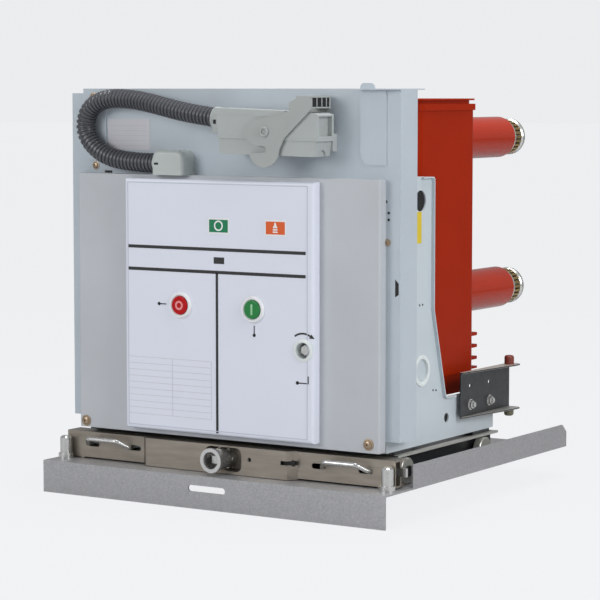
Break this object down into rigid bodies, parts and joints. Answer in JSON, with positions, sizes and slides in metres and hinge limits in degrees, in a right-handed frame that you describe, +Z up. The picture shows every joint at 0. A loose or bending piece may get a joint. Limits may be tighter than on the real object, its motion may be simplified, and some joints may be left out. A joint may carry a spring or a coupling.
{
  "type": "withdrawable vacuum circuit breaker",
  "caption": "Truck-mounted indoor high-voltage circuit breaker with three red moulded poles, spring contact arms, a grey mechanism case and a plug on a conduit, on its slide-in tray.",
  "frame": {"origin": "middle of the tray's flat underside, 3 mm below its top face", "axes": "+X to the right as seen from the front, +Y from the front panel towards the contacts, +Z up"},
  "size_m": [0.694, 0.686, 0.713],
  "materials": {
    "galvanised_sheet": "matt",
    "bright_steel": "satin",
    "plated_steel": "satin",
    "zinc_steel": "satin",
    "plate_grey": "satin",
    "cover_grey": "satin",
    "panel_white": "gloss",
    "gland_grey": "satin",
    "conduit_grey": "satin",
    "plug_grey": "matt",
    "lever_grey": "satin",
    "button_red": "gloss",
    "button_green": "gloss",
    "buffer_rubber": "matt",
    "epoxy_red": "satin",
    "silver_plate": "polished"
  },
  "bodies": {
    "tray": {"tray": "galvanised_sheet", "locating_pins": "bright_steel", "crossbar": "plated_steel", "crossbar_cover": "plated_steel", "racking_socket": "bright_steel"},
    "truck": {"truck_frame": "zinc_steel", "mechanism_case": "plate_grey", "front_cover": "cover_grey", "front_panel": "panel_white", "side_plate_left": "plate_grey", "side_plate_right": "plate_grey", "back_plate": "plate_grey", "corner_brackets": "plate_grey", "conduit_gland": "gland_grey", "conduit": "conduit_grey", "plug_housing": "plug_grey", "shutter_wing_left": "zinc_steel", "shutter_wing_right": "zinc_steel", "wing_buffers": "buffer_rubber", "pole_left": "epoxy_red", "sleeve_lower_left": "epoxy_red", "tulip_lower_left": "silver_plate", "sleeve_upper_left": "epoxy_red", "tulip_upper_left": "silver_plate", "pole_middle": "epoxy_red", "sleeve_lower_middle": "epoxy_red", "tulip_lower_middle": "silver_plate", "sleeve_upper_middle": "epoxy_red", "tulip_upper_middle": "silver_plate", "pole_right": "epoxy_red", "sleeve_lower_right": "epoxy_red", "tulip_lower_right": "silver_plate", "sleeve_upper_right": "epoxy_red", "tulip_upper_right": "silver_plate"},
    "lead_screw": {"lead_screw": "bright_steel"},
    "handle_left": {"handle_left": "bright_steel"},
    "handle_right": {"handle_right": "bright_steel"},
    "trip_button": {"trip_button": "button_red"},
    "close_button": {"close_button": "button_green"},
    "charging_shaft": {"charging_shaft": "bright_steel"},
    "plug_lever": {"plug_lever": "lever_grey"},
    "wheel_front_left": {"wheel_front_left": "zinc_steel"},
    "wheel_front_right": {"wheel_front_right": "zinc_steel"},
    "wheel_rear_left": {"wheel_rear_left": "zinc_steel"},
    "wheel_rear_right": {"wheel_rear_right": "zinc_steel"}
  },
  "joints": [
    {"name": "truck_travel", "type": "slide", "parent": "tray", "child": "truck", "axis": [0, 1, 0], "range_m": [0, 0.2]},
    {"name": "lead_screw_turn", "type": "hinge", "parent": "tray", "child": "lead_screw", "pos_m": [0, -0.267, 0.029], "axis": [0, 1, 0], "range_deg": [0, 7201]},
    {"name": "handle_left_slide", "type": "slide", "parent": "tray", "child": "handle_left", "axis": [1, 0, 0], "range_m": [0, 0.018], "stiffness_N_per_m": 300, "springref_m": -0.005},
    {"name": "handle_right_slide", "type": "slide", "parent": "tray", "child": "handle_right", "axis": [-1, 0, 0], "range_m": [0, 0.018], "stiffness_N_per_m": 300, "springref_m": -0.005},
    {"name": "trip_button_press", "type": "slide", "parent": "truck", "child": "trip_button", "axis": [0, 1, 0], "range_m": [0, 0.005], "stiffness_N_per_m": 400, "springref_m": -0.002},
    {"name": "close_button_press", "type": "slide", "parent": "truck", "child": "close_button", "axis": [0, 1, 0], "range_m": [0, 0.005], "stiffness_N_per_m": 400, "springref_m": -0.002},
    {"name": "charging_turn", "type": "hinge", "parent": "truck", "child": "charging_shaft", "pos_m": [0.171, -0.267, 0.223], "axis": [0, 1, 0], "continuous": true},
    {"name": "plug_lever_swing", "type": "hinge", "parent": "truck", "child": "plug_lever", "pos_m": [0.114, -0.291, 0.581], "axis": [0, -1, 0], "range_deg": [0, 95]},
    {"name": "wheel_front_left_roll", "type": "hinge", "parent": "truck", "child": "wheel_front_left", "pos_m": [-0.314, -0.209, 0.0253], "axis": [1, 0, 0], "continuous": true},
    {"name": "wheel_front_right_roll", "type": "hinge", "parent": "truck", "child": "wheel_front_right", "pos_m": [0.314, -0.209, 0.0253], "axis": [1, 0, 0], "continuous": true},
    {"name": "wheel_rear_left_roll", "type": "hinge", "parent": "truck", "child": "wheel_rear_left", "pos_m": [-0.314, 0.063, 0.0253], "axis": [1, 0, 0], "continuous": true},
    {"name": "wheel_rear_right_roll", "type": "hinge", "parent": "truck", "child": "wheel_rear_right", "pos_m": [0.314, 0.063, 0.0253], "axis": [1, 0, 0], "continuous": true}
  ],
  "couplings": [
    {"joint": "lead_screw_turn", "follows": "truck_travel", "rad_per_m": 628.32},
    {"joint": "wheel_front_left_roll", "follows": "truck_travel", "rad_per_m": -45.455},
    {"joint": "wheel_front_right_roll", "follows": "truck_travel", "rad_per_m": -45.455},
    {"joint": "wheel_rear_left_roll", "follows": "truck_travel", "rad_per_m": -45.455},
    {"joint": "wheel_rear_right_roll", "follows": "truck_travel", "rad_per_m": -45.455}
  ]
}
